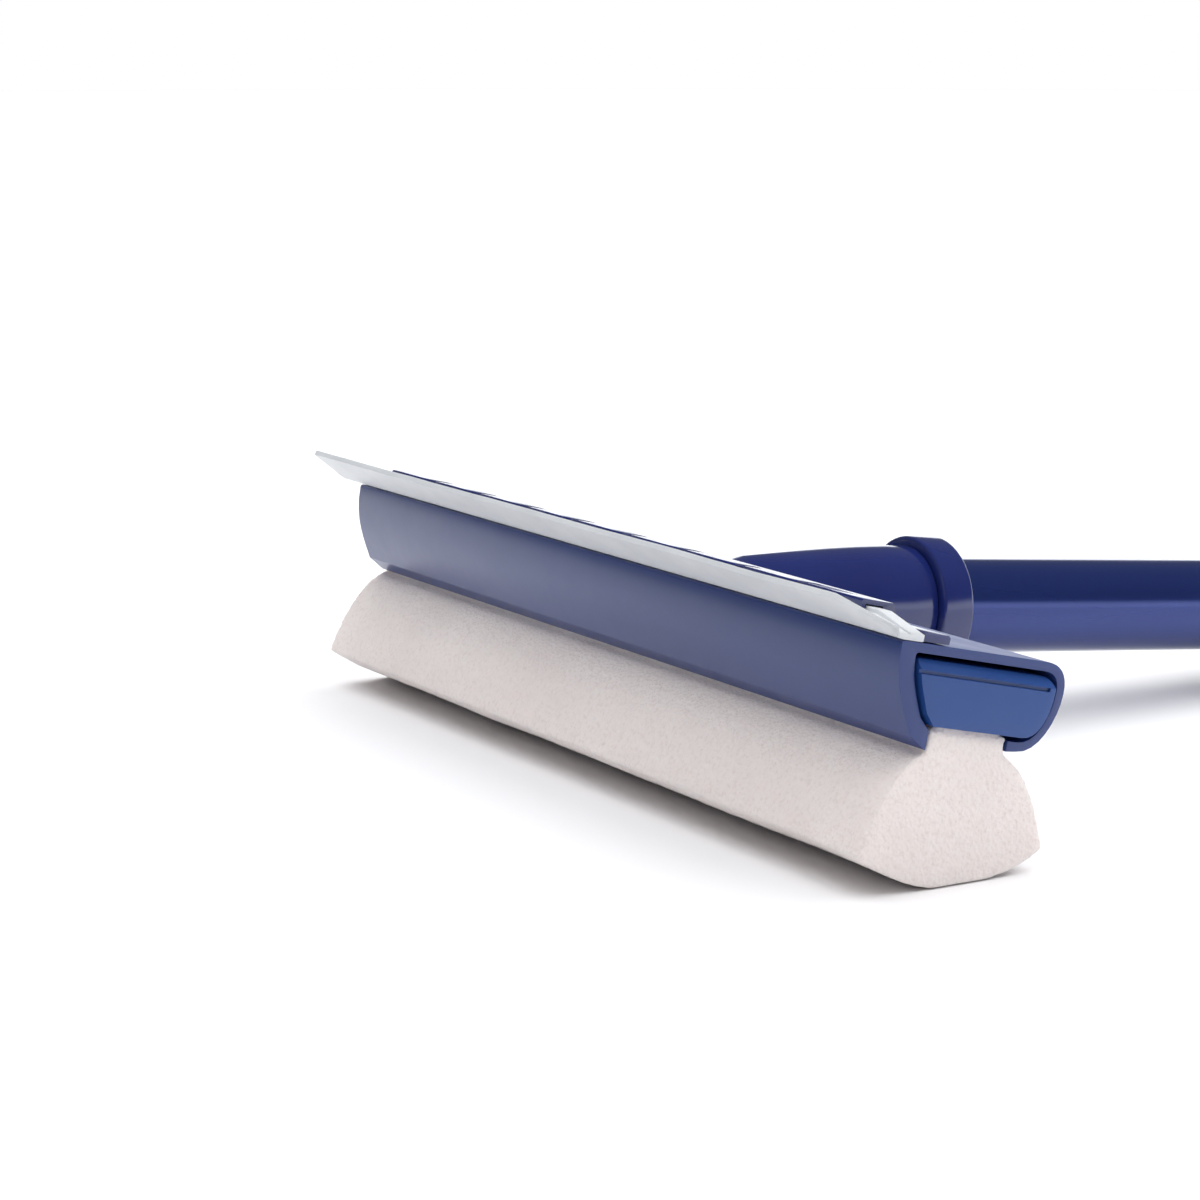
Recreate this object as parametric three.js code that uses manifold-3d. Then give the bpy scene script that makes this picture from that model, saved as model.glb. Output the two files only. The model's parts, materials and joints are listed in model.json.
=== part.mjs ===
// A window squeegee: a C-section head with a rubber wiping blade along its front top edge, a sponge
// cartridge that slides into the head from one end, and a short lacquered tube handle with a grip.
//
// Millimetres, +Z up. X runs from the blade to the handle and Y runs along the head. The squeegee
// stands as it rests on a table, on the sponge and on the far end of its handle. The head leans
// back and the handle slopes down, so two groups hold the pieces in frames of their own:
//   head frame:   x back from the front top edge of the channel, z up from its top wall
//   handle frame: x along the tube from the back of the head, z up
import * as THREE from "three";
import { mergeVertices } from "three/addons/utils/BufferGeometryUtils.js";
import Module from "manifold-3d";

const wasm = await Module();
wasm.setup();

// Overall sizes
const HEAD_LENGTH = 245;
const HEAD_DEPTH = 43.4;
const HEAD_HEIGHT = 21.4;
const HANDLE_LENGTH = 231.4; // tube
const HEAD_LEAN = THREE.MathUtils.degToRad(12.7);
const HANDLE_SLOPE = THREE.MathUtils.degToRad(5.2);
const GAP = 0.3; // between pieces that touch

// Channel of the head
const TOP_WALL = 2;
const FRONT_WALL = 4;
const BACK_WALL = 2;
const TOP_EDGE_RADIUS = 0.8;
const BACK_CORNER_RADIUS = 6;
const BACK_LIP_RISE = 2.1; // the back lip ends higher than the front lip
const FRONT_LIP_RISE = 2.5; // height of the flat along the front lip, below the curve of the wall
const MOUTH_FRONT = 11; // front lip tip, from the front wall
const MOUTH_BACK = 12; // back lip tip, from the back wall
const BACK_FOOT = 2.6; // straight part of the back lip, from its tip
const FAR_WALL = 2.4; // closes the channel's far end

// Rubber blade
const BLADE_LENGTH = 255;
const BLADE_SHIFT = 5; // it stands proud of the far end only
const BLADE_REACH = 10.1; // in front of the channel
const BLADE_RISE = 4.7; // lip's lower edge, above the channel
const BLADE_TIP = 1.3;
const BLADE_ROOT = 3.2;
const BEAD_WIDTH = 3.8;
const BEAD_HEIGHT = 4.3;
const BEAD_START = 1.4;

// Retainer that holds the blade
const RETAINER_WALL = 1;
const RETAINER_BACK = 3.4;
const RETAINER_FLANGE = 3.2;
const RETAINER_FLANGE_HEIGHT = 1.9;
const RETAINER_INSET = 0.5; // shorter than the head at each end
const FINGER_INSET = 16; // fingers start this far from each end
const FINGER_COUNT = 9;
const FINGER_GAP = 3;
const HOOK_DROP = 1;

// Saddle and socket of the handle
const SADDLE_LENGTH = 110;
const SADDLE_CROWN = 3.2; // height at the middle
const SADDLE_END_HEIGHT = 1;
const SADDLE_BACK_MARGIN = 4;
const AXIS_DROP = 7.6; // handle's axis below the top wall, at the back of the head
const SOCKET_LENGTH = 47.3;
const SOCKET_WALL = 2.9; // round the tube, at the mouth
const SOCKET_TAPER = 2.8; // slimmer at its root than at its mouth
const SOCKET_BORE_DEPTH = 36;
const COLLAR_LENGTH = 9.5;
const COLLAR_PROUD = 2.3;
const COLLAR_SEAT = 1.6; // how far the socket steps down under the collar
const COLLAR_LIP = 1.2;

// Handle
const TUBE_RADIUS = 11.8;
const TUBE_WALL = 1;
const GRIP_LENGTH = 90;
const GRIP_WALL = 1.3;
const GRIP_RIBS = 8;
const GRIP_RIB_DEPTH = 0.5;
const CAP_FLANGE = 3.5;
const CAP_PLUG = 12;
const TONGUE_LENGTH = 20;
const TONGUE_THICKNESS = 6;
const HANG_HOLE_RADIUS = 3.5;
const PLUG_LENGTH = 9;
const PLUG_WALL = 1.4;

// Sponge cartridge
const HOLDER_GAP = 1.1; // sliding clearance to the channel
const HOLDER_WALL = 1.8;
const HOLDER_PROUD = 1.2; // stands out of the near end as a finger hold
const HOLDER_CHAMFER = 2.1;
const HOLDER_GROOVE = 0.8; // under the chamfer
const HOLDER_GROOVE_STOP = 1.5; // from the back edge
const FOAM_FLOOR = 52.6; // flattened underside, below the channel's front top edge
const FOAM_FLAT = 17; // width of the flattened underside
const FOAM_FRONT = 10.4; // front edge of the foam, in front of the channel
const FOAM_BACK_INSET = 6.4; // its back edge, in front of the channel's back
const FOAM_FRONT_EDGE = 8.9; // height of the front edge, above the underside
const FOAM_BACK_EDGE = 4.7;
const FOAM_FRONT_CLEARANCE = 2.6; // to the channel's front lip
const FOAM_BACK_CLEARANCE = 1.3;

// Fasteners
const SCREW_RADIUS = 1.2;
const SCREW_HEAD_RADIUS = 2.3;
const SCREW_HEAD_HEIGHT = 1.3;
const RETAINER_SCREW_LENGTH = 5.3;
const RETAINER_SCREW_MARGIN = 30; // outer screws from the ends of the head
const SADDLE_SCREW_LENGTH = 3.4;
const SADDLE_SCREW_SPACING = 60; // along the head
const SADDLE_SCREW_ROWS = 13; // from front to back
const RIVET_RADIUS = 1.6;
const RIVET_HEAD_RADIUS = 3.2;
const RIVET_HEAD_HEIGHT = 1.1;

// Facets
const CURVE_STEPS = 8;
const ROUND_STEPS = 48;
const SLEEVE_STEPS = 32;
const SMALL_STEPS = 14;

const NEAR_END = -HEAD_LENGTH / 2;
const FAR_END = HEAD_LENGTH / 2;
const QUARTER = Math.PI / 2;

// ---- solids and meshes ----

function solidOf(geometry) {
  const bare = geometry.clone();
  bare.deleteAttribute("normal");
  bare.deleteAttribute("uv");
  const merged = mergeVertices(bare, 1e-4);
  return new wasm.Manifold(
    new wasm.Mesh({
      numProp: 3,
      vertProperties: merged.attributes.position.array,
      triVerts: new Uint32Array(merged.index.array),
    }),
  );
}

function geometryOf(solid) {
  const mesh = solid.getMesh();
  const geometry = new THREE.BufferGeometry();
  geometry.setAttribute("position", new THREE.BufferAttribute(mesh.vertProperties, 3));
  geometry.setIndex(new THREE.BufferAttribute(mesh.triVerts, 1));
  geometry.computeVertexNormals();
  return geometry;
}

const join = (geometries) => geometries.map(solidOf).reduce((sum, next) => sum.add(next));

const cut = (solid, geometries) => geometries.map(solidOf).reduce((rest, next) => rest.subtract(next), solid);

// A section in x and z, drawn out along Y.
function alongY(shape, from, to) {
  const geometry = new THREE.ExtrudeGeometry(shape, {
    depth: to - from,
    bevelEnabled: false,
    curveSegments: CURVE_STEPS,
  });
  return geometry.rotateX(QUARTER).translate(0, to, 0);
}

// A profile of [radius, x] points, turned about the X axis.
function aroundX(points, steps = ROUND_STEPS) {
  const profile = points.map(([radius, x]) => new THREE.Vector2(radius, x));
  return new THREE.LatheGeometry(profile, steps).rotateZ(-QUARTER);
}

// A profile of [radius, z] points, turned about the Z axis.
function aroundZ(points, steps = SMALL_STEPS) {
  const profile = points.map(([radius, z]) => new THREE.Vector2(radius, z));
  return new THREE.LatheGeometry(profile, steps).rotateX(QUARTER);
}

// A box between two corners.
function block(low, high) {
  const size = low.map((value, i) => high[i] - value);
  const middle = low.map((value, i) => (high[i] + value) / 2);
  return new THREE.BoxGeometry(...size).translate(...middle);
}

function polygon(points) {
  return new THREE.Shape(points.map(([x, z]) => new THREE.Vector2(x, z)));
}

function piece(name, geometry, material) {
  const mesh = new THREE.Mesh(geometry, material);
  mesh.name = name;
  return mesh;
}

// ---- head ----

const mouthFrom = MOUTH_FRONT;
const mouthTo = HEAD_DEPTH - MOUTH_BACK;
const OUTSIDE = { top: 0, front: 0, back: 0 };
const INSIDE = { top: TOP_WALL, front: FRONT_WALL, back: BACK_WALL };

const deeper = ({ top, front, back }, by) => ({ top: top + by, front: front + by, back: back + by });

const frontLipHeight = ({ front }) => front - HEAD_HEIGHT;
const backLipHeight = ({ back }) => back + BACK_LIP_RISE - HEAD_HEIGHT;

// The channel's D-shaped outline, moved inwards from its top, front and back walls.
function channelOutline(inset) {
  const { top, front } = inset;
  const back = HEAD_DEPTH - inset.back;
  const frontLip = frontLipHeight(inset);
  const backLip = backLipHeight(inset);
  const backFoot = mouthTo + BACK_FOOT;
  const corner = Math.max(BACK_CORNER_RADIUS - top, TOP_EDGE_RADIUS);
  const shape = new THREE.Shape();
  shape.moveTo(front + TOP_EDGE_RADIUS, -top);
  shape.quadraticCurveTo(front, -top, front, -top - TOP_EDGE_RADIUS);
  const tuckAt = (share) => front + (mouthFrom - front) * share;
  const crease = frontLip + FRONT_LIP_RISE;
  shape.bezierCurveTo(front, crease * 0.5, tuckAt(0.38), crease * 0.78, tuckAt(0.6), crease);
  shape.lineTo(mouthFrom, frontLip);
  shape.lineTo(backFoot, backLip);
  const backTuck = backFoot + (back - backFoot) * 0.6;
  shape.bezierCurveTo(backTuck, backLip, back, -HEAD_HEIGHT * 0.54, back, -top - corner);
  shape.quadraticCurveTo(back, -top, back - corner, -top);
  return shape;
}

// A countersunk screw driven up through the top wall from inside, or with a clearance, its hole.
function screwShape(x, y, length, clearance) {
  const face = GAP - TOP_WALL;
  const rim = face + SCREW_HEAD_HEIGHT / 4;
  const cone = face + SCREW_HEAD_HEIGHT;
  const tip = length - TOP_WALL + clearance;
  const points = [
    [0, face - 2 * clearance],
    [SCREW_HEAD_RADIUS + clearance, face - 2 * clearance],
    [SCREW_HEAD_RADIUS + clearance, rim],
    [SCREW_RADIUS + clearance, cone],
    [SCREW_RADIUS + clearance, tip],
    [0, tip],
  ];
  return aroundZ(points).translate(x, y, 0);
}

const retainerBack = BEAD_START + BEAD_WIDTH + GAP; // its inner face, behind the blade's bead
const retainerEdge = retainerBack + RETAINER_BACK + RETAINER_FLANGE;
const saddleFront = retainerEdge + GAP;
const saddleBack = HEAD_DEPTH - SADDLE_BACK_MARGIN;

function retainerScrewPlaces() {
  const x = retainerBack + RETAINER_BACK / 2;
  const end = HEAD_LENGTH / 2 - RETAINER_SCREW_MARGIN;
  return [-end, 0, end].map((y) => [x, y]);
}

function saddleScrewPlaces() {
  const x = (saddleFront + saddleBack) / 2;
  return [-1, 1].flatMap((row) =>
    [-1, 1].map((side) => [x + (row * SADDLE_SCREW_ROWS) / 2, (side * SADDLE_SCREW_SPACING) / 2]),
  );
}

const retainerScrews = (clearance) =>
  retainerScrewPlaces().map(([x, y]) => screwShape(x, y, RETAINER_SCREW_LENGTH, clearance));

const saddleScrews = (clearance) =>
  saddleScrewPlaces().map(([x, y]) => screwShape(x, y, SADDLE_SCREW_LENGTH, clearance));

// Moulded channel, open below between its two lips and at its near end.
function headChannel() {
  const outside = solidOf(alongY(channelOutline(OUTSIDE), NEAR_END, FAR_END));
  const inside = alongY(channelOutline(INSIDE), NEAR_END - 1, FAR_END - FAR_WALL);
  const mouthTop = Math.max(frontLipHeight(INSIDE), backLipHeight(INSIDE)) + GAP;
  const mouth = block([mouthFrom, NEAR_END - 1, -HEAD_HEIGHT - 1], [mouthTo, FAR_END + 1, mouthTop]);
  return cut(outside, [inside, mouth, ...retainerScrews(GAP), ...saddleScrews(GAP)]);
}

// Rubber strip: a tapering lip that leans forwards and up, and a bead under the retainer.
function rubberBlade() {
  const seat = GAP;
  const beadTop = seat + BEAD_HEIGHT;
  const section = polygon([
    [-BLADE_REACH, BLADE_RISE],
    [-TOP_EDGE_RADIUS * 2, seat + TOP_EDGE_RADIUS],
    [0, seat],
    [BEAD_START + BEAD_WIDTH, seat],
    [BEAD_START + BEAD_WIDTH, beadTop],
    [BEAD_START, beadTop],
    [BEAD_START, seat + BLADE_ROOT],
    [0, seat + BLADE_ROOT],
    [BLADE_TIP / 3 - BLADE_REACH, BLADE_RISE + BLADE_TIP],
  ]);
  const from = -BLADE_LENGTH / 2 + BLADE_SHIFT;
  return alongY(section, from, from + BLADE_LENGTH);
}

// Strip on the top wall, whose fingers reach over the blade's bead and hook down in front of it.
function bladeRetainer() {
  const under = 2 * GAP + BEAD_HEIGHT;
  const top = under + RETAINER_WALL;
  const wallBack = retainerBack + RETAINER_BACK;
  const flangeTop = GAP + RETAINER_FLANGE_HEIGHT;
  const hookBack = BEAD_START - GAP;
  const hookFront = hookBack - RETAINER_WALL;
  const base = polygon([
    [retainerBack, GAP],
    [retainerEdge, GAP],
    [retainerEdge, flangeTop - RETAINER_WALL / 2],
    [retainerEdge - RETAINER_WALL / 2, flangeTop],
    [retainerBack, flangeTop],
  ]);
  const finger = polygon([
    [hookFront, under - HOOK_DROP],
    [hookBack, under - HOOK_DROP],
    [hookBack, under],
    [retainerBack, under],
    [retainerBack, GAP],
    [wallBack, GAP],
    [wallBack, top - RETAINER_WALL],
    [wallBack - RETAINER_WALL, top],
    [hookFront + RETAINER_WALL / 3, top],
    [hookFront, top - RETAINER_WALL / 3],
  ]);
  const baseHalf = HEAD_LENGTH / 2 - RETAINER_INSET;
  const fingersHalf = HEAD_LENGTH / 2 - FINGER_INSET;
  const pitch = (2 * fingersHalf + FINGER_GAP) / FINGER_COUNT;
  const gaps = Array.from({ length: FINGER_COUNT - 1 }, (_, i) => {
    const start = (i + 1) * pitch - fingersHalf - FINGER_GAP;
    return block([hookFront - 1, start, under - 2 * HOOK_DROP], [retainerBack, start + FINGER_GAP, top + 1]);
  });
  const strip = join([alongY(base, -baseHalf, baseHalf), alongY(finger, -fingersHalf, fingersHalf)]);
  return cut(strip, [...gaps, ...retainerScrews(GAP)]);
}

// ---- saddle and socket ----

// Pad on the top wall behind the retainer: highest at the middle and low at its ends.
function saddle() {
  const half = SADDLE_LENGTH / 2;
  const slope = (saddleBack - saddleFront) / 3;
  const across = new THREE.Shape();
  across.moveTo(saddleFront, GAP);
  across.lineTo(saddleBack, GAP);
  across.quadraticCurveTo(saddleBack - slope / 3, SADDLE_CROWN, saddleBack - slope, SADDLE_CROWN);
  across.lineTo(saddleFront + slope, SADDLE_CROWN);
  across.quadraticCurveTo(saddleFront, SADDLE_CROWN, saddleFront, SADDLE_CROWN / 2);
  const along = new THREE.Shape();
  along.moveTo(-half, GAP);
  along.lineTo(half, GAP);
  along.lineTo(half, SADDLE_END_HEIGHT);
  along.quadraticCurveTo(0, 2 * SADDLE_CROWN - SADDLE_END_HEIGHT, -half, SADDLE_END_HEIGHT);
  const bow = new THREE.ExtrudeGeometry(along, {
    depth: HEAD_DEPTH,
    bevelEnabled: false,
    curveSegments: 2 * CURVE_STEPS,
  });
  bow.rotateX(QUARTER).rotateZ(QUARTER);
  return solidOf(alongY(across, -half, half)).intersect(solidOf(bow));
}

// The handle frame seen from the head frame.
function ontoHead(geometry) {
  return geometry.rotateY(HANDLE_SLOPE - HEAD_LEAN).translate(HEAD_DEPTH, 0, -AXIS_DROP);
}

const boreRadius = TUBE_RADIUS + GAP;
const socketMouthRadius = boreRadius + SOCKET_WALL;
const socketRootRadius = socketMouthRadius - SOCKET_TAPER;
const collarRadius = socketMouthRadius + COLLAR_PROUD;
const boreStart = SOCKET_LENGTH - SOCKET_BORE_DEPTH;
const collarEnd = SOCKET_LENGTH + COLLAR_LENGTH;
const socketEnd = collarEnd - COLLAR_LIP - GAP;
const collarSeatRadius = socketMouthRadius - COLLAR_SEAT;

function socketBody() {
  const outline = [0, 0.17, 0.34, 0.5, 0.67, 0.84, 1].map((part) => [
    socketRootRadius + SOCKET_TAPER * Math.sin(part * QUARTER),
    part * SOCKET_LENGTH,
  ]);
  return aroundX([
    [0, -2 * BACK_CORNER_RADIUS],
    [socketRootRadius - FRONT_WALL, -2 * BACK_CORNER_RADIUS],
    ...outline,
    [collarSeatRadius, SOCKET_LENGTH],
    [collarSeatRadius, socketEnd],
    [0, socketEnd],
  ]);
}

// Rounded fairing between the saddle and the socket, over the back of the head.
function fairing() {
  const height = AXIS_DROP + SADDLE_CROWN;
  return new THREE.SphereGeometry(1, ROUND_STEPS, ROUND_STEPS / 3)
    .rotateX(QUARTER)
    .scale(SOCKET_LENGTH / 3, socketMouthRadius, height)
    .translate(HEAD_DEPTH - BACK_CORNER_RADIUS, 0, -AXIS_DROP);
}

const rivetPlace = boreStart + SOCKET_BORE_DEPTH / 2;

// Rivet from below, in the handle frame: a domed head outside and a shank into the tube.
function rivetShape(clearance) {
  const outer = socketMouthRadius;
  const shank = RIVET_RADIUS + clearance;
  const points = [
    [0, -outer - RIVET_HEAD_HEIGHT],
    [RIVET_HEAD_RADIUS * 0.75, -outer - RIVET_HEAD_HEIGHT * 0.8],
    [RIVET_HEAD_RADIUS, -outer - GAP],
    [shank, -outer - GAP],
    [shank, TUBE_WALL * 2 - TUBE_RADIUS + clearance],
    [0, TUBE_WALL * 2 - TUBE_RADIUS + clearance],
  ];
  return aroundZ(points).translate(rivetPlace, 0, 0);
}

const rivetHole = () =>
  aroundZ([
    [0, -socketMouthRadius - 1],
    [RIVET_RADIUS + GAP, -socketMouthRadius - 1],
    [RIVET_RADIUS + GAP, 0],
    [0, 0],
  ]).translate(rivetPlace, 0, 0);

// One moulding, bolted to the channel: saddle, fairing and the socket that takes the tube.
function handleSocket() {
  const bore = aroundX([
    [0, boreStart],
    [boreRadius, boreStart],
    [boreRadius, collarEnd],
    [0, collarEnd],
  ]);
  const outside = saddle().add(solidOf(ontoHead(socketBody()))).add(solidOf(fairing()));
  const channel = alongY(channelOutline(deeper(OUTSIDE, -GAP)), NEAR_END - 1, FAR_END + 1);
  return cut(outside, [channel, ontoHead(bore), ontoHead(rivetHole()), ...saddleScrews(GAP)]);
}

// ---- handle, in the handle frame ----

function collarRing() {
  const seat = collarSeatRadius + GAP;
  const edge = COLLAR_LIP / 2;
  return aroundX([
    [seat, SOCKET_LENGTH + GAP],
    [collarRadius - edge, SOCKET_LENGTH + GAP],
    [collarRadius, SOCKET_LENGTH + GAP + edge],
    [collarRadius, collarEnd - edge],
    [collarRadius - edge, collarEnd],
    [boreRadius, collarEnd],
    [boreRadius, collarEnd - COLLAR_LIP],
    [seat, collarEnd - COLLAR_LIP],
    [seat, SOCKET_LENGTH + GAP],
  ]);
}

const tubeStart = boreStart + GAP;
const tubeEnd = tubeStart + HANDLE_LENGTH;
const tubeBore = TUBE_RADIUS - TUBE_WALL;

function handleTube() {
  const tube = aroundX([
    [tubeBore, tubeStart],
    [TUBE_RADIUS, tubeStart],
    [TUBE_RADIUS, tubeEnd],
    [tubeBore, tubeEnd],
    [tubeBore, tubeStart],
  ]);
  return cut(solidOf(tube), [rivetHole()]);
}

// Cup that closes the tube's front end against water.
function tubePlug() {
  const outer = tubeBore - GAP;
  return aroundX([
    [0, tubeStart + PLUG_WALL],
    [outer - PLUG_WALL, tubeStart + PLUG_WALL],
    [outer - PLUG_WALL, tubeStart + PLUG_LENGTH],
    [outer, tubeStart + PLUG_LENGTH],
    [outer, tubeStart],
    [0, tubeStart],
  ].reverse());
}

const gripEnd = tubeEnd - GAP;
const gripRadius = boreRadius + GRIP_WALL;

// Soft sleeve with ribs round it.
function gripSleeve() {
  const start = gripEnd - GRIP_LENGTH;
  const pitch = GRIP_LENGTH / (GRIP_RIBS + 1);
  const ribs = Array.from({ length: GRIP_RIBS }, (_, i) => {
    const middle = start + (i + 1) * pitch;
    return [
      [gripRadius, middle - pitch / 4],
      [gripRadius - GRIP_RIB_DEPTH, middle],
      [gripRadius, middle + pitch / 4],
    ];
  }).flat();
  return aroundX([
    [boreRadius, start],
    [gripRadius - GRIP_RIB_DEPTH, start],
    [gripRadius, start + GRIP_RIB_DEPTH * 2],
    ...ribs,
    [gripRadius, gripEnd],
    [boreRadius, gripEnd],
    [boreRadius, start],
  ], SLEEVE_STEPS);
}

// Cap with a plug inside the tube and a flat tongue to hang it by.
function endCap() {
  const start = tubeEnd + GAP;
  const flange = start + CAP_FLANGE;
  const plug = aroundX([
    [0, start - CAP_PLUG],
    [tubeBore - GAP - 1, start - CAP_PLUG],
    [tubeBore - GAP, start - CAP_PLUG + 1],
    [tubeBore - GAP, start],
    [gripRadius, start],
    [gripRadius, flange - 1],
    [gripRadius - 1, flange],
    [0, flange],
  ]);
  const half = gripRadius * 0.7;
  const outline = new THREE.Shape();
  outline.moveTo(flange - 1, -half);
  outline.lineTo(flange + TONGUE_LENGTH - half, -half);
  outline.absarc(flange + TONGUE_LENGTH - half, 0, half, -QUARTER, QUARTER, false);
  outline.lineTo(flange - 1, half);
  const hole = new THREE.Path();
  hole.absarc(flange + TONGUE_LENGTH - half, 0, HANG_HOLE_RADIUS, 0, 4 * QUARTER, true);
  outline.holes.push(hole);
  const tongue = new THREE.ExtrudeGeometry(outline, {
    depth: TONGUE_THICKNESS,
    bevelEnabled: false,
    curveSegments: CURVE_STEPS * 2,
  });
  tongue.translate(0, 0, -TONGUE_THICKNESS / 2);
  return join([plug, tongue]);
}

// ---- sponge cartridge ----

const HOLDER = deeper(INSIDE, HOLDER_GAP);
const CAVITY = deeper(HOLDER, HOLDER_WALL);
const holderStart = NEAR_END - HOLDER_PROUD;
const holderEnd = FAR_END - FAR_WALL - GAP;

// Stiff trough that runs in the channel and rests on its lips, with closed ends.
function spongeHolder() {
  const body = solidOf(alongY(channelOutline(HOLDER), holderStart, holderEnd));
  const cavityEnds = [holderStart + HOLDER_WALL, holderEnd - HOLDER_WALL];
  const cavity = alongY(channelOutline(CAVITY), ...cavityEnds);
  const mouth = block(
    [mouthFrom + HOLDER_WALL, cavityEnds[0], -HEAD_HEIGHT],
    [mouthTo - HOLDER_WALL, cavityEnds[1], -HEAD_HEIGHT / 2],
  );
  const edge = HOLDER_CHAMFER * Math.SQRT1_2;
  const chamfer = block([0, -edge, -edge], [HEAD_DEPTH, edge, edge]).rotateX(QUARTER / 2);
  chamfer.translate(0, holderStart, -HOLDER.top);
  const grooveTop = -HOLDER.top - HOLDER_CHAMFER;
  const groove = block(
    [0, holderStart - 1, grooveTop - HOLDER_GROOVE],
    [HEAD_DEPTH - HOLDER.back - HOLDER_GROOVE_STOP, holderStart + HOLDER_GROOVE, grooveTop],
  );
  return cut(body, [cavity, mouth, chamfer, groove]);
}

// A place on the head's section, seen level with the table.
const levelled = (x, z) => new THREE.Vector3(x, 0, z).applyAxisAngle(new THREE.Vector3(0, 1, 0), HEAD_LEAN);

// Foam section below the head, level with the table: narrow under the lips and fanning out.
function foamOutline() {
  const frontLip = levelled(mouthFrom, frontLipHeight(OUTSIDE));
  const backLip = levelled(mouthTo, backLipHeight(OUTSIDE));
  const frontNeck = frontLip.x + FOAM_FRONT_CLEARANCE;
  const backNeck = backLip.x - FOAM_BACK_CLEARANCE;
  const floor = -FOAM_FLOOR;
  const front = -FOAM_FRONT;
  const back = HEAD_DEPTH - FOAM_BACK_INSET;
  const frontShoulder = frontLip.z - FOAM_FRONT_CLEARANCE / 2;
  const backShoulder = backLip.z - FOAM_BACK_CLEARANCE;
  const frontEdge = floor + FOAM_FRONT_EDGE;
  const backEdge = floor + FOAM_BACK_EDGE;
  const flatFrom = (back + front - FOAM_FLAT + 1) / 2;
  const flatTo = flatFrom + FOAM_FLAT;
  const frontAt = (out, down) => [
    THREE.MathUtils.lerp(frontNeck, front, out),
    THREE.MathUtils.lerp(frontShoulder, frontEdge, down),
  ];
  const backAt = (out, down) => [
    THREE.MathUtils.lerp(backNeck, back, out),
    THREE.MathUtils.lerp(backShoulder, backEdge, down),
  ];
  const shape = new THREE.Shape();
  shape.moveTo(frontNeck, frontLip.z + FOAM_FRONT_CLEARANCE / 2);
  shape.lineTo(...frontAt(0, 0));
  shape.bezierCurveTo(...frontAt(0.47, 0.14), ...frontAt(0.79, 0.56), ...frontAt(1, 1));
  shape.quadraticCurveTo(THREE.MathUtils.lerp(front, flatFrom, 0.6), floor + 1, flatFrom, floor);
  shape.lineTo(flatTo, floor);
  shape.quadraticCurveTo(THREE.MathUtils.lerp(flatTo, back, 2 / 3), floor + 1, back, backEdge);
  shape.bezierCurveTo(...backAt(0.83, 0.57), ...backAt(0.66, 0.23), ...backAt(0, 0));
  shape.lineTo(backNeck, backLip.z + FOAM_BACK_CLEARANCE);
  return shape;
}

// Foam block: its top fills the holder, its neck passes between the lips, and it fans out below.
function sponge() {
  const insideFrom = holderStart + HOLDER_WALL + GAP;
  const insideTo = holderEnd - HOLDER_WALL - GAP;
  const top = alongY(channelOutline(deeper(CAVITY, GAP)), insideFrom, insideTo);
  const throat = block(
    [mouthFrom + HOLDER_WALL + GAP, insideFrom, -HEAD_HEIGHT - 1],
    [mouthTo - HOLDER_WALL - GAP, insideTo, -HEAD_HEIGHT / 2],
  );
  const neckTop = Math.min(frontLipHeight(HOLDER), backLipHeight(HOLDER)) - GAP;
  const neck = block(
    [mouthFrom + GAP, NEAR_END, -HEAD_HEIGHT - 4],
    [mouthTo - GAP, FAR_END - FAR_WALL - GAP, neckTop],
  );
  const inHead = [top, throat, neck].map((geometry) => geometry.rotateY(HEAD_LEAN));
  return join([...inHead, alongY(foamOutline(), NEAR_END, FAR_END)]);
}

// ---- assembly ----

const plastic = (color, roughness) => new THREE.MeshStandardMaterial({ color, roughness, metalness: 0 });
const metal = (color, roughness) => new THREE.MeshStandardMaterial({ color, roughness, metalness: 1 });

const materials = {
  channel: plastic(0x46588c, 0.35),
  retainer: plastic(0x2c3f80, 0.25),
  socket: plastic(0x1f2c6e, 0.18),
  holder: plastic(0x36589a, 0.35),
  tube: new THREE.MeshStandardMaterial({ color: 0x1f2a66, roughness: 0.2, metalness: 0.4 }),
  rubber: plastic(0xcfd2d8, 0.55),
  foam: plastic(0xe2d8d4, 0.95),
  grip: plastic(0x16181d, 0.8),
  steel: metal(0xb4b7bc, 0.35),
};

const head = new THREE.Group();
head.rotation.y = HEAD_LEAN;
head.add(
  piece("head_channel", geometryOf(headChannel()), materials.channel),
  piece("blade_retainer", geometryOf(bladeRetainer()), materials.retainer),
  piece("rubber_blade", rubberBlade(), materials.rubber),
  piece("handle_socket", geometryOf(handleSocket()), materials.socket),
  piece("sponge_holder", geometryOf(spongeHolder()), materials.holder),
);
retainerScrews(0).forEach((screw, i) => head.add(piece(`retainer_screw_${i + 1}`, screw, materials.steel)));
saddleScrews(0).forEach((screw, i) => head.add(piece(`saddle_screw_${i + 1}`, screw, materials.steel)));

const handle = new THREE.Group();
const handleRoot = new THREE.Vector3(HEAD_DEPTH, 0, -AXIS_DROP);
handle.position.copy(handleRoot.applyAxisAngle(new THREE.Vector3(0, 1, 0), HEAD_LEAN));
handle.rotation.y = HANDLE_SLOPE;
handle.add(
  piece("collar_ring", collarRing(), materials.socket),
  piece("handle_tube", geometryOf(handleTube()), materials.tube),
  piece("tube_plug", tubePlug(), materials.retainer),
  piece("socket_rivet", rivetShape(0), materials.steel),
  piece("grip_sleeve", gripSleeve(), materials.grip),
  piece("end_cap", geometryOf(endCap()), materials.socket),
);

const squeegee = new THREE.Group();
squeegee.add(head, handle, piece("sponge", geometryOf(sponge()), materials.foam));

// The origin is under the middle of the whole squeegee, on the table.
const bounds = new THREE.Box3().setFromObject(squeegee, true);
const middle = bounds.getCenter(new THREE.Vector3());
squeegee.position.set(-middle.x, -middle.y, -bounds.min.z);

export default squeegee;
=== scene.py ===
import json
import math

import bmesh
import bpy
import numpy as np
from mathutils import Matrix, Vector, noise


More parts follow.
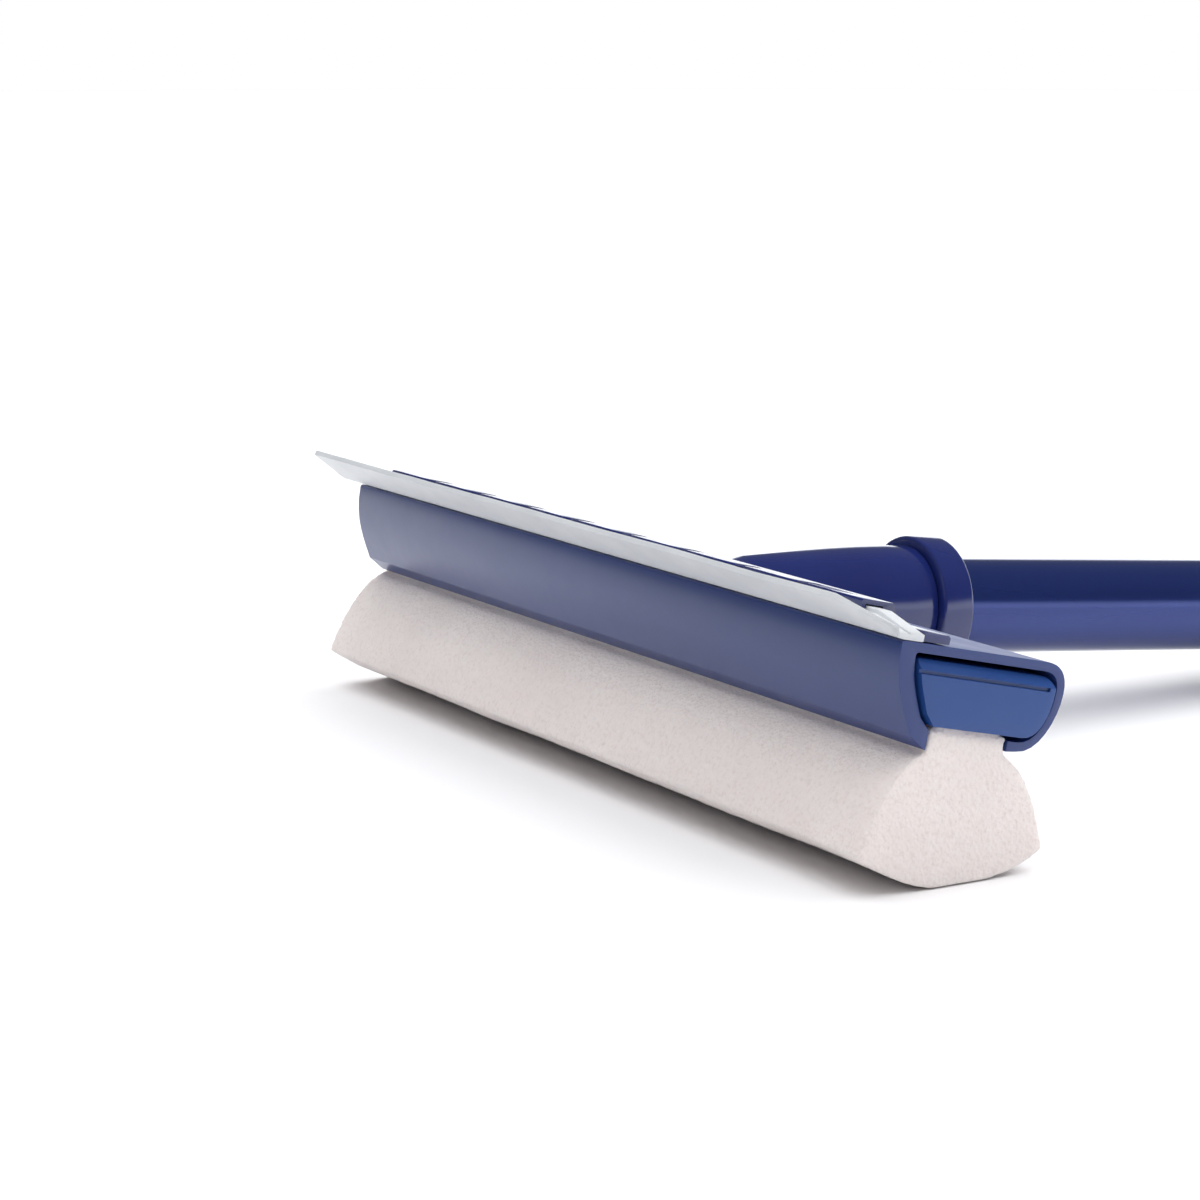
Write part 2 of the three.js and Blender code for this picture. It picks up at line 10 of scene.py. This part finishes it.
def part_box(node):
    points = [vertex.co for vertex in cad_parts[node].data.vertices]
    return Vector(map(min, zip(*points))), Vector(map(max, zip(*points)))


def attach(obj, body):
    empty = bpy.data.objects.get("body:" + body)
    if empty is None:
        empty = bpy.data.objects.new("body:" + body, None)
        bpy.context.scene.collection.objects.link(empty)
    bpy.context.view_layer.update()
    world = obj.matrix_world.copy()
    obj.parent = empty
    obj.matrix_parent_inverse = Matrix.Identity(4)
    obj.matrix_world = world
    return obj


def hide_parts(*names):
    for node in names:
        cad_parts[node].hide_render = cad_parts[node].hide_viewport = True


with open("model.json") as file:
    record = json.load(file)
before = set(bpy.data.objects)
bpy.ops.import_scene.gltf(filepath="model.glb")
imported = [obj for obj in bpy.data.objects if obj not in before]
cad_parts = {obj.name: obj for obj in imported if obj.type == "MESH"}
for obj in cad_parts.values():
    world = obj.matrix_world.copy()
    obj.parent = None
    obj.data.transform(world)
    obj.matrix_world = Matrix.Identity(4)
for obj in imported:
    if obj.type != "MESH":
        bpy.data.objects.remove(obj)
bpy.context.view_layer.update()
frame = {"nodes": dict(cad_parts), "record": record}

MM = 0.001

# The head leans back by this angle, and these are the directions across it and up out of it.
HEAD_LEAN = math.radians(12.7)
ACROSS = Vector((math.cos(HEAD_LEAN), 0, -math.sin(HEAD_LEAN)))
UP = Vector((math.sin(HEAD_LEAN), 0, math.cos(HEAD_LEAN)))

nodes = frame["nodes"]
channel_low, channel_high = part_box("head_channel")
channel_points = [v.co for v in nodes["head_channel"].data.vertices]
front = min(p.dot(ACROSS) for p in channel_points)
top = max(p.dot(UP) for p in channel_points)
NEAR, FAR = channel_low.y, channel_high.y

# A point on the channel's front top edge, which is where the head's own frame starts.
EDGE = ACROSS * front + UP * top


def in_head(across, up, y):
    """A point given in millimetres across and up in the head's own frame, at y metres."""
    return EDGE + ACROSS * (across * MM) + UP * (up * MM) + Vector((0, y, 0))


# ---- camera, light and stage ----

# Where the camera stands, in metres from the near end of the channel's front top edge, and its aim
# in degrees: the heading turns from +Y towards +X, and the pitch is down.
CAMERA_OFFSET = (-0.3674, -0.5097, 0.1244)
CAMERA_HEADING = 30.274
CAMERA_PITCH = 10.533
FOCAL_LENGTH = 96
SENSOR_WIDTH = 36

# Brightness of the room that lights the object, and of the low wall on the handle's side.
ROOM_LEVEL = 0.13
WALL_LEVEL = 1.8

# The wall fades out between these heights and sideways places, as parts of a direction's length.
WALL_FULL_BELOW, WALL_GONE_ABOVE = 0.08, 0.24
WALL_STARTS, WALL_FULL_FROM = -0.2, 0.3

FLOOR_RADIUS = 6.0
FLOOR_DROP = 0.0002


def make_camera():
    heading, pitch = math.radians(CAMERA_HEADING), math.radians(CAMERA_PITCH)
    direction = Vector((
        math.sin(heading) * math.cos(pitch),
        math.cos(heading) * math.cos(pitch),
        -math.sin(pitch),
    ))
    data = bpy.data.cameras.new("camera")
    data.lens = FOCAL_LENGTH
    data.sensor_width = SENSOR_WIDTH
    data.clip_start, data.clip_end = 0.01, 50
    camera = bpy.data.objects.new("camera", data)
    across, along, above = CAMERA_OFFSET
    camera.location = EDGE + Vector((across, NEAR + along, above))
    camera.rotation_euler = direction.to_track_quat("-Z", "Y").to_euler()
    bpy.context.scene.collection.objects.link(camera)
    bpy.context.scene.camera = camera


def area_light(name, location, target, size, power):
    data = bpy.data.lights.new(name, "AREA")
    data.shape = "RECTANGLE"
    data.size, data.size_y = size
    data.energy = power
    light = bpy.data.objects.new(name, data)
    light.location = location
    light.rotation_euler = (Vector(target) - Vector(location)).to_track_quat("-Z", "Y").to_euler()
    bpy.context.scene.collection.objects.link(light)


def make_world():
    """White behind everything the camera sees. The room that lights the object is dim, with a pale
    low wall on the handle's side."""
    world = bpy.data.worlds.new("studio")
    world.use_nodes = True
    tree = world.node_tree
    direction = tree.nodes.new("ShaderNodeTexCoord")
    split = tree.nodes.new("ShaderNodeSeparateXYZ")
    height = tree.nodes.new("ShaderNodeMapRange")
    height.interpolation_type = "SMOOTHSTEP"
    height.inputs["From Min"].default_value = WALL_GONE_ABOVE
    height.inputs["From Max"].default_value = WALL_FULL_BELOW
    side = tree.nodes.new("ShaderNodeMapRange")
    side.interpolation_type = "SMOOTHSTEP"
    side.inputs["From Min"].default_value = WALL_STARTS
    side.inputs["From Max"].default_value = WALL_FULL_FROM
    level = tree.nodes.new("ShaderNodeMath")
    level.operation = "MULTIPLY_ADD"
    level.inputs[2].default_value = ROOM_LEVEL
    wall = tree.nodes.new("ShaderNodeMath")
    wall.operation = "MULTIPLY"
    wall.inputs[1].default_value = WALL_LEVEL - ROOM_LEVEL
    room = tree.nodes["Background"]
    room.inputs["Color"].default_value = (0.92, 0.95, 1, 1)
    white = tree.nodes.new("ShaderNodeBackground")
    white.inputs["Color"].default_value = (1, 1, 1, 1)
    path = tree.nodes.new("ShaderNodeLightPath")
    mix = tree.nodes.new("ShaderNodeMixShader")
    tree.links.new(direction.outputs["Generated"], split.inputs[0])
    tree.links.new(split.outputs["Z"], height.inputs["Value"])
    tree.links.new(split.outputs["X"], side.inputs["Value"])
    tree.links.new(height.outputs["Result"], wall.inputs[0])
    tree.links.new(side.outputs["Result"], level.inputs[0])
    tree.links.new(wall.outputs[0], level.inputs[1])
    tree.links.new(level.outputs[0], room.inputs["Strength"])
    tree.links.new(path.outputs["Is Camera Ray"], mix.inputs[0])
    tree.links.new(room.outputs[0], mix.inputs[1])
    tree.links.new(white.outputs[0], mix.inputs[2])
    tree.links.new(mix.outputs[0], tree.nodes["World Output"].inputs["Surface"])
    bpy.context.scene.world = world


def sun_light(name, towards, spread, power, in_reflections):
    """Even light from far away, out of the direction given, over a disc of the sky spread degrees wide."""
    data = bpy.data.lights.new(name, "SUN")
    data.energy = power
    data.angle = math.radians(spread)
    light = bpy.data.objects.new(name, data)
    light.rotation_euler = Vector(towards).to_track_quat("Z", "Y").to_euler()
    light.visible_glossy = in_reflections
    bpy.context.scene.collection.objects.link(light)


def make_floor():
    """Plain pale floor, a wide disc just under the object, nearly as light as the white behind it."""
    rings, sides = 12, 64
    points, faces = [(0, 0, 0)], []
    for r in range(1, rings + 1):
        for k in range(sides):
            angle = 2 * math.pi * k / sides
            radius = FLOOR_RADIUS * r / rings
            points.append((radius * math.cos(angle), radius * math.sin(angle), 0))
    for k in range(sides):
        faces.append((0, 1 + k, 1 + (k + 1) % sides))
    for r in range(rings - 1):
        for k in range(sides):
            a, b = 1 + r * sides + k, 1 + r * sides + (k + 1) % sides
            faces.append((a, a + sides, b + sides, b))
    mesh = bpy.data.meshes.new("floor")
    mesh.from_pydata([(x, y, z - FLOOR_DROP) for x, y, z in points], [], faces)
    material = bpy.data.materials.new("pale_floor")
    material.use_nodes = True
    shader = material.node_tree.nodes["Principled BSDF"]
    shader.inputs["Base Color"].default_value = (0.9, 0.9, 0.91, 1)
    shader.inputs["Roughness"].default_value = 0.8
    shader.inputs["Specular IOR Level"].default_value = 0.1
    mesh.materials.append(material)
    floor = bpy.data.objects.new("floor", mesh)
    bpy.context.scene.collection.objects.link(floor)


# ---- materials ----

class Shader:
    """A material's node tree, with the few links that every finish here uses."""

    def __init__(self, name):
        self.material = bpy.data.materials.new(name)
        self.material.use_nodes = True
        self.tree = self.material.node_tree
        self.bsdf = self.tree.nodes["Principled BSDF"]
        self.coordinates = self.tree.nodes.new("ShaderNodeTexCoord").outputs["Object"]

    def set(self, **values):
        for socket, value in values.items():
            self.bsdf.inputs[socket.replace("_", " ")].default_value = value

    def link(self, output, socket):
        self.tree.links.new(output, socket)

    def stretched(self, scale):
        mapping = self.tree.nodes.new("ShaderNodeMapping")
        mapping.inputs["Scale"].default_value = scale
        self.link(self.coordinates, mapping.inputs["Vector"])
        return mapping.outputs["Vector"]

    def noise(self, scale, detail=3, roughness=0.5, stretch=(1, 1, 1)):
        node = self.tree.nodes.new("ShaderNodeTexNoise")
        node.inputs["Scale"].default_value = scale
        node.inputs["Detail"].default_value = detail
        node.inputs["Roughness"].default_value = roughness
        self.link(self.stretched(stretch), node.inputs["Vector"])
        return node.outputs["Fac"]

    def patches(self, scale, detail, roughness=0.5, stretch=(1, 1, 1)):
        """Noise with its middle spread from 0 to 1, for mixing two colours in soft patches."""
        return self.ranged(self.noise(scale, detail, roughness, stretch), 0, 1, 0.3, 0.7)

    def cells(self, scale):
        node = self.tree.nodes.new("ShaderNodeTexVoronoi")
        node.inputs["Scale"].default_value = scale
        self.link(self.coordinates, node.inputs["Vector"])
        return node.outputs["Distance"]

    def ranged(self, source, low, high, source_low=0.0, source_high=1.0):
        node = self.tree.nodes.new("ShaderNodeMapRange")
        node.inputs["From Min"].default_value = source_low
        node.inputs["From Max"].default_value = source_high
        node.inputs["To Min"].default_value = low
        node.inputs["To Max"].default_value = high
        self.link(source, node.inputs["Value"])
        return node.outputs["Result"]

    def mixed(self, factor, first, second):
        node = self.tree.nodes.new("ShaderNodeMix")
        node.data_type = "RGBA"
        self.link(factor, node.inputs["Factor"])
        for socket, value in ((node.inputs[6], first), (node.inputs[7], second)):
            if isinstance(value, bpy.types.NodeSocket):
                self.link(value, socket)
            else:
                socket.default_value = (*value, 1)
        return node.outputs[2]

    def bump(self, height, strength, distance, below=None):
        node = self.tree.nodes.new("ShaderNodeBump")
        node.inputs["Strength"].default_value = strength
        node.inputs["Distance"].default_value = distance
        self.link(height, node.inputs["Height"])
        if below is not None:
            self.link(below, node.inputs["Normal"])
        return node.outputs["Normal"]


def plastic(name, dark, light, roughness, grain=0.12, coat=0.0, coat_roughness=0.08):
    """Moulded plastic: faint flow marks in its colour, uneven gloss and a fine skin."""
    s = Shader(name)
    s.set(Specular_IOR_Level=0.5, Coat_Weight=coat, Coat_Roughness=coat_roughness)
    flow = s.patches(28, 4, 0.6, (1, 0.25, 1))
    s.link(s.mixed(flow, dark, light), s.bsdf.inputs["Base Color"])
    gloss = s.noise(160, 3, 0.6)
    s.link(s.ranged(gloss, roughness - 0.04, roughness + 0.05), s.bsdf.inputs["Roughness"])
    skin = s.bump(s.noise(2600, 2), grain, 0.00004)
    waves = s.bump(s.noise(70, 2), 0.25, 0.00012, skin)
    s.link(waves, s.bsdf.inputs["Normal"])
    return s.material


def lacquer(name, dark, light):
    """Blue lacquer over a bright drawn tube, with a clear coat."""
    s = Shader(name)
    s.set(Metallic=0.6, Coat_Weight=0.5, Coat_Roughness=0.04, Coat_IOR=1.5)
    drawn = s.patches(90, 3, 0.6, (0.06, 1, 1))
    s.link(s.mixed(drawn, dark, light), s.bsdf.inputs["Base Color"])
    s.link(s.ranged(s.noise(220, 3), 0.16, 0.25), s.bsdf.inputs["Roughness"])
    lines = s.bump(s.noise(700, 2, 0.5, (0.02, 1, 1)), 0.05, 0.00003)
    s.link(s.bump(s.noise(60, 2), 0.2, 0.00012, lines), s.bsdf.inputs["Normal"])
    return s.material


def foam_material(name):
    """Open-cell foam: pale, faintly mottled, with painted shade of its pores as small darker spots."""
    s = Shader(name)
    s.set(Roughness=0.95, Specular_IOR_Level=0.15, Sheen_Weight=0.25, Sheen_Roughness=0.6)
    s.set(Subsurface_Weight=0.25, Subsurface_Scale=0.004, Subsurface_Radius=(1.0, 0.8, 0.7))
    mottle = s.mixed(s.patches(42, 4, 0.65), (0.83, 0.75, 0.725), (0.88, 0.805, 0.78))
    # Painted shade: small darker spots stand in for the shade inside the foam's pores.
    pore_shade_specks = s.ranged(s.noise(900, 4, 0.7), 0, 1, 0.33, 0.5)
    coloured = s.mixed(pore_shade_specks, (0.775, 0.69, 0.66), mottle)
    s.link(coloured, s.bsdf.inputs["Base Color"])
    pores = s.bump(s.cells(1150), 0.5, 0.0005)
    fine = s.bump(s.noise(2400, 3, 0.7), 0.45, 0.0003, pores)
    s.link(fine, s.bsdf.inputs["Normal"])
    return s.material


def rubber_material(name, dark, light, roughness, pimple_scale, pimple_height):
    """Moulded rubber: faintly uneven in colour and gloss, over fine pimples."""
    s = Shader(name)
    s.set(Specular_IOR_Level=0.45, Sheen_Weight=0.05)
    s.link(s.mixed(s.patches(55, 4, 0.6), dark, light), s.bsdf.inputs["Base Color"])
    s.link(s.ranged(s.noise(300, 3), roughness - 0.06, roughness + 0.08), s.bsdf.inputs["Roughness"])
    pimples = s.bump(s.cells(pimple_scale), 0.4, pimple_height)
    s.link(s.bump(s.noise(90, 2), 0.2, 0.00015, pimples), s.bsdf.inputs["Normal"])
    return s.material


def steel_material(name):
    """Zinc-plated steel: bare metal with a faintly mottled tone."""
    s = Shader(name)
    s.set(Metallic=1.0)
    s.link(s.mixed(s.patches(400, 3), (0.52, 0.53, 0.55), (0.66, 0.67, 0.69)), s.bsdf.inputs["Base Color"])
    s.link(s.ranged(s.noise(900, 3), 0.26, 0.4), s.bsdf.inputs["Roughness"])
    s.link(s.bump(s.noise(2500, 2), 0.15, 0.00004), s.bsdf.inputs["Normal"])
    return s.material


def make_finishes():
    channel = plastic(
        "channel_blue", (0.017, 0.038, 0.16), (0.023, 0.048, 0.19), 0.33, coat=0.15, coat_roughness=0.2
    )
    dark_blue = plastic(
        "dark_blue", (0.008, 0.015, 0.105), (0.011, 0.021, 0.13), 0.14, grain=0.05, coat=0.6
    )
    cartridge = plastic("cartridge_blue", (0.014, 0.056, 0.225), (0.019, 0.070, 0.26), 0.34)
    blue_lacquer = lacquer("blue_lacquer", (0.014, 0.032, 0.175), (0.018, 0.040, 0.2))
    white_rubber = rubber_material(
        "white_rubber", (0.60, 0.62, 0.65), (0.68, 0.70, 0.72), 0.4, 1500, 0.00002
    )
    grip_rubber = rubber_material(
        "grip_rubber", (0.012, 0.013, 0.016), (0.022, 0.023, 0.027), 0.62, 900, 0.0001
    )
    return {
        "channel_plastic": channel,
        "dark_blue_plastic": dark_blue,
        "cartridge_plastic": cartridge,
        "blue_lacquer": blue_lacquer,
        "white_rubber": white_rubber,
        "grip_rubber": grip_rubber,
        "screw_steel": steel_material("screw_steel"),
        "sponge_foam": foam_material("sponge_foam"),
    }


# ---- meshes ----

CORNER_STEPS = 5


def smoothed_by_angle(name, angle):
    """Modifier tree that shades smooth up to an angle between faces."""
    tree = bpy.data.node_groups.new(name, "GeometryNodeTree")
    tree.interface.new_socket("Geometry", in_out="INPUT", socket_type="NodeSocketGeometry")
    tree.interface.new_socket("Geometry", in_out="OUTPUT", socket_type="NodeSocketGeometry")
    start = tree.nodes.new("NodeGroupInput")
    end = tree.nodes.new("NodeGroupOutput")
    faces = tree.nodes.new("GeometryNodeSetShadeSmooth")
    faces.domain = "FACE"
    edges = tree.nodes.new("GeometryNodeSetShadeSmooth")
    edges.domain = "EDGE"
    edge_angle = tree.nodes.new("GeometryNodeInputMeshEdgeAngle")
    compare = tree.nodes.new("FunctionNodeCompare")
    compare.data_type = "FLOAT"
    compare.operation = "LESS_THAN"
    compare.inputs["B"].default_value = angle
    tree.links.new(start.outputs[0], faces.inputs["Geometry"])
    tree.links.new(faces.outputs["Geometry"], edges.inputs["Geometry"])
    tree.links.new(edge_angle.outputs["Unsigned Angle"], compare.inputs["A"])
    tree.links.new(compare.outputs["Result"], edges.inputs["Shade Smooth"])
    tree.links.new(edges.outputs["Geometry"], end.inputs[0])
    return tree


def new_object(name, points, faces, material):
    mesh = bpy.data.meshes.new(name)
    mesh.from_pydata(points, [], faces)
    mesh.polygons.foreach_set("use_smooth", [True] * len(mesh.polygons))
    mesh.materials.append(material)
    obj = bpy.data.objects.new(name, mesh)
    bpy.context.scene.collection.objects.link(obj)
    return obj


def rounded_outline(corners):
    """Outline through (x, z, radius) corners, each turned on a quadratic curve."""
    line = []
    for i, (x, z, radius) in enumerate(corners):
        here = np.array([x, z])
        before = np.array(corners[i - 1][:2])
        after = np.array(corners[(i + 1) % len(corners)][:2])
        to_before = (before - here) / np.linalg.norm(before - here)
        to_after = (after - here) / np.linalg.norm(after - here)
        for k in range(CORNER_STEPS + 1):
            t = k / CORNER_STEPS
            start, end = here + to_before * radius, here + to_after * radius
            line.append((1 - t) ** 2 * start + 2 * t * (1 - t) * here + t * t * end)
    return line


def sweep_along_head(name, outline, stations, place, material):
    """Closed section carried along the head, with flat ends. place gives each point in metres."""
    count = len(outline)
    points = [place(x, z, y) for y in stations for x, z in outline]
    faces = []
    for s in range(len(stations) - 1):
        for i in range(count):
            j = (i + 1) % count
            faces.append((s * count + i, s * count + j, (s + 1) * count + j, (s + 1) * count + i))
    faces.append(tuple(reversed(range(count))))
    faces.append(tuple(range((len(stations) - 1) * count, len(stations) * count)))
    obj = new_object(name, points, faces, material)
    mesh = bmesh.new()
    mesh.from_mesh(obj.data)
    bmesh.ops.recalc_face_normals(mesh, faces=mesh.faces)
    mesh.to_mesh(obj.data)
    mesh.free()
    return obj


def stations_between(start, end, step):
    count = max(2, round((end - start) / step))
    return [start + (end - start) * i / count for i in range(count + 1)]


# ---- wiping blade ----

# Sizes in millimetres. The lip's near corner is trimmed back over this length, to this reach in
# front of the head, and it comes down towards the underside by this share.
TRIM_LENGTH = 12
TRIMMED_REACH = 1.5
TRIM_DROP = 0.65
UNDERSIDE = 0.15

# The lip ripples from this reach outwards, in full this much further out.
RIPPLE_FROM = 3
RIPPLE_GROWTH = 7

# In metres: the spacing of the sections along the blade, and the rounding of its end edges.
BLADE_STEP = 0.003
END_ROUNDING = 0.00015


def ripple(y):
    """How far the free edge stands off its straight line, in millimetres, at y metres."""
    long_wave = noise.noise(Vector((y * 30, 3.1, 0.0))) * 0.22
    short_wave = noise.noise(Vector((y * 90, 7.7, 0.0))) * 0.06
    return long_wave + short_wave - 0.08


def make_blade(material):
    """The rubber strip: a tapering lip in front of the head, and a square bead in the retainer."""
    corners = [
        (-10.05, 5.2, 0.12), (-1.3, 0.75, 1.0), (0.1, UNDERSIDE, 0.4), (5.15, UNDERSIDE, 0.5),
        (5.15, 4.55, 0.5), (1.45, 4.55, 0.35), (1.45, 3.5, 0.2), (0.0, 3.5, 1.2), (-9.65, 6.4, 0.12),
    ]
    low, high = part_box("rubber_blade")

    def place(x, z, y):
        trimmed = max(0.0, 1 - (y - low.y) / (TRIM_LENGTH * MM))
        if x < -TRIMMED_REACH:
            x = -TRIMMED_REACH + (x + TRIMMED_REACH) * (1 - trimmed)
        z = UNDERSIDE + (z - UNDERSIDE) * (1 - TRIM_DROP * trimmed)
        free = min(1.0, max(0.0, (-x - RIPPLE_FROM) / RIPPLE_GROWTH))
        return in_head(x, z + ripple(y) * free, y)

    blade = sweep_along_head(
        "wiping_rubber",
        rounded_outline(corners),
        stations_between(low.y, high.y, BLADE_STEP),
        place,
        material,
    )
    bevel = blade.modifiers.new("softened_ends", "BEVEL")
    bevel.width = END_ROUNDING
    bevel.segments = 2
    bevel.limit_method = "ANGLE"
    bevel.angle_limit = math.radians(60)
    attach(blade, "wiping_blade")
    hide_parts("rubber_blade")


# ---- sponge ----

# In millimetres: the table's depth below the channel's front top edge, and the channel's height.
FLOOR_DEPTH = 52.6
CHANNEL_HEIGHT = 21.4

# In metres: how far inside the near end the foam in the holder starts, and how far short of the
# far end it and the neck stop.
INSIDE_START = 0.001
INSIDE_STOP = 0.0049
NECK_STOP = 0.0028

# Size of the foam's mesh in metres, and how often it is smoothed to round its cut edges.
VOXEL = 0.0009
SMOOTHING_PASSES = 5


def curve(points, steps):
    """Points of a Bezier curve of any degree, without its last."""
    line = []
    for k in range(steps):
        t = k / steps
        level = [np.array(p, float) for p in points]
        while len(level) > 1:
            level = [(1 - t) * a + t * b for a, b in zip(level, level[1:])]
        line.append(level[0])
    return line


def foam_below():
    """Section below the head, in millimetres from the channel's front top edge, level with the table."""
    floor, neck = -FLOOR_DEPTH, -CHANNEL_HEIGHT
    left, right = 8.58, 25.1
    back = floor + FLOOR_DEPTH * 0.09
    front_shoulder = (left, neck - 1.9)
    front_corner = (-10.3, floor + FLOOR_DEPTH * 0.17)
    rests_from, rests_to = (8.5, floor + 0.02), (22.3, floor + 0.02)
    back_corner = (36.9, back)
    back_shoulder = (right, neck - 4.7)
    return [
        *curve([(left, neck - 0.9), front_shoulder], 3),
        *curve([front_shoulder, (left - 8.5, neck - 3.2), (left - 15, neck - 13), front_corner], 22),
        *curve([front_corner, (1, floor + 1.2), rests_from], 12),
        *curve([rests_from, rests_to], 8),
        *curve([rests_to, (32, floor + 1), back_corner], 10),
        *curve([back_corner, (35, back + 9), (33, back + 18), back_shoulder], 18),
        *curve([back_shoulder, (right, neck - 3.1)], 3),
    ]


def level_with_table(x, z, y):
    """A point given in millimetres across and up from the channel's front top edge, at y metres."""
    return EDGE + Vector((x * MM, y, z * MM))


def make_sponge(material):
    """The foam: the block below the head, its neck between the lips and its part in the holder."""
    below = sweep_along_head("foam_block", foam_below(), [NEAR, FAR], level_with_table, material)
    neck = [(11.4, -25.2), (11.4, -16.7), (31.0, -16.7), (31.0, -25.2)]
    throat = [(13.2, -18.0), (13.2, -13.0), (29.2, -13.0), (29.2, -18.0)]
    inside = [
        (8.0, -5.6), (34.6, -5.6), (37.4, -7.4), (36.6, -11.5), (33.6, -13.6), (12.0, -13.6), (9.6, -10.5),
    ]
    sections = [
        (neck, NEAR, FAR - NECK_STOP),
        (throat, NEAR + INSIDE_START, FAR - INSIDE_STOP),
        (inside, NEAR + INSIDE_START, FAR - INSIDE_STOP),
    ]
    blocks = [below]
    for outline, start, end in sections:
        blocks.append(sweep_along_head("part", outline, [start, end], in_head, material))
    bpy.ops.object.select_all(action="DESELECT")
    for block in blocks:
        block.select_set(True)
    bpy.context.view_layer.objects.active = below
    bpy.ops.object.join()
    below.data.remesh_voxel_size = VOXEL
    below.data.remesh_voxel_adaptivity = 0
    bpy.ops.object.voxel_remesh()
    soften_and_roughen(below)
    below.data.materials.clear()
    below.data.materials.append(material)
    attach(below, "sponge_cartridge")
    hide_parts("sponge")


def soften_and_roughen(foam):
    """Rounds the cut edges, then gives the skin its cells and the block a slight unevenness."""
    mesh = bmesh.new()
    mesh.from_mesh(foam.data)
    for _ in range(SMOOTHING_PASSES):
        bmesh.ops.smooth_vert(
            mesh, verts=mesh.verts, factor=0.5, use_axis_x=True, use_axis_y=True, use_axis_z=True
        )
    mesh.normal_update()
    moves = []
    for v in mesh.verts:
        height = (v.co - EDGE).z / MM
        free = min(1.0, max(0.0, (-25.5 - height) / 3))
        resting = min(1.0, max(0.0, (height + FLOOR_DEPTH) / 2))
        swell = noise.noise(v.co * 32) * 0.35 - 0.2
        cells = noise.noise(v.co * 620) * 0.16
        moves.append(v.normal * ((swell * free + cells * max(free, 0.3)) * max(resting, 0.1) * MM))
    for v, move in zip(mesh.verts, moves):
        v.co += move
    mesh.to_mesh(foam.data)
    mesh.free()
    foam.data.polygons.foreach_set("use_smooth", [True] * len(foam.data.polygons))


# ---- put together ----

# Corners of a CAD mesh closer than this many metres are one corner.
WELD_DISTANCE = 0.00001

# Angles between faces, in degrees: flat below the first, smooth-shaded below the second, and
# a real edge that gets its radius above the third.
FLAT_ANGLE = 0.5
SMOOTH_ANGLE = 27
EDGE_ANGLE = 38

# Radius of each moulded piece's edges, in millimetres.
EDGE_RADII = {
    "head_channel": 0.35,
    "blade_retainer": 0.35,
    "handle_socket": 0.4,
    "sponge_holder": 0.35,
    "collar_ring": 0.6,
    "end_cap": 0.6,
}


def round_edges(obj, radius):
    """Modifiers that merge flat faces and round the edges between the rest."""
    flat = obj.modifiers.new("flat_faces", "DECIMATE")
    flat.decimate_type = "DISSOLVE"
    flat.angle_limit = math.radians(FLAT_ANGLE)
    bevel = obj.modifiers.new("rounded", "BEVEL")
    bevel.width = radius * MM
    bevel.segments = 3
    bevel.limit_method = "ANGLE"
    bevel.angle_limit = math.radians(EDGE_ANGLE)


def finish_cad_nodes(finishes):
    """Gives every CAD node its material, smooth shading and, where it has one, its edge radius."""
    smooth = smoothed_by_angle("smooth_by_angle", math.radians(SMOOTH_ANGLE))
    slots = {s["node"]: s["material_slot"] for s in frame["record"]["subparts"]}
    for name, obj in nodes.items():
        obj.data.materials.clear()
        obj.data.materials.append(finishes[slots[name]])
        weld = obj.modifiers.new("joined_corners", "WELD")
        weld.merge_threshold = WELD_DISTANCE
        if name in EDGE_RADII:
            round_edges(obj, EDGE_RADII[name])
        modifier = obj.modifiers.new("smooth", "NODES")
        modifier.node_group = smooth


def main():
    bpy.context.scene.view_settings.view_transform = "Standard"
    make_camera()
    make_world()
    make_floor()
    sun_light("key", towards=(0.25, 0.1, 1.25), spread=105, power=4.2, in_reflections=False)
    area_light("fill", (-1.0, -0.55, 0.75), target=(-0.1, 0.0, 0.02), size=(0.9, 0.9), power=0.8)
    finishes = make_finishes()
    finish_cad_nodes(finishes)
    make_blade(finishes["white_rubber"])
    make_sponge(finishes["sponge_foam"])


main()
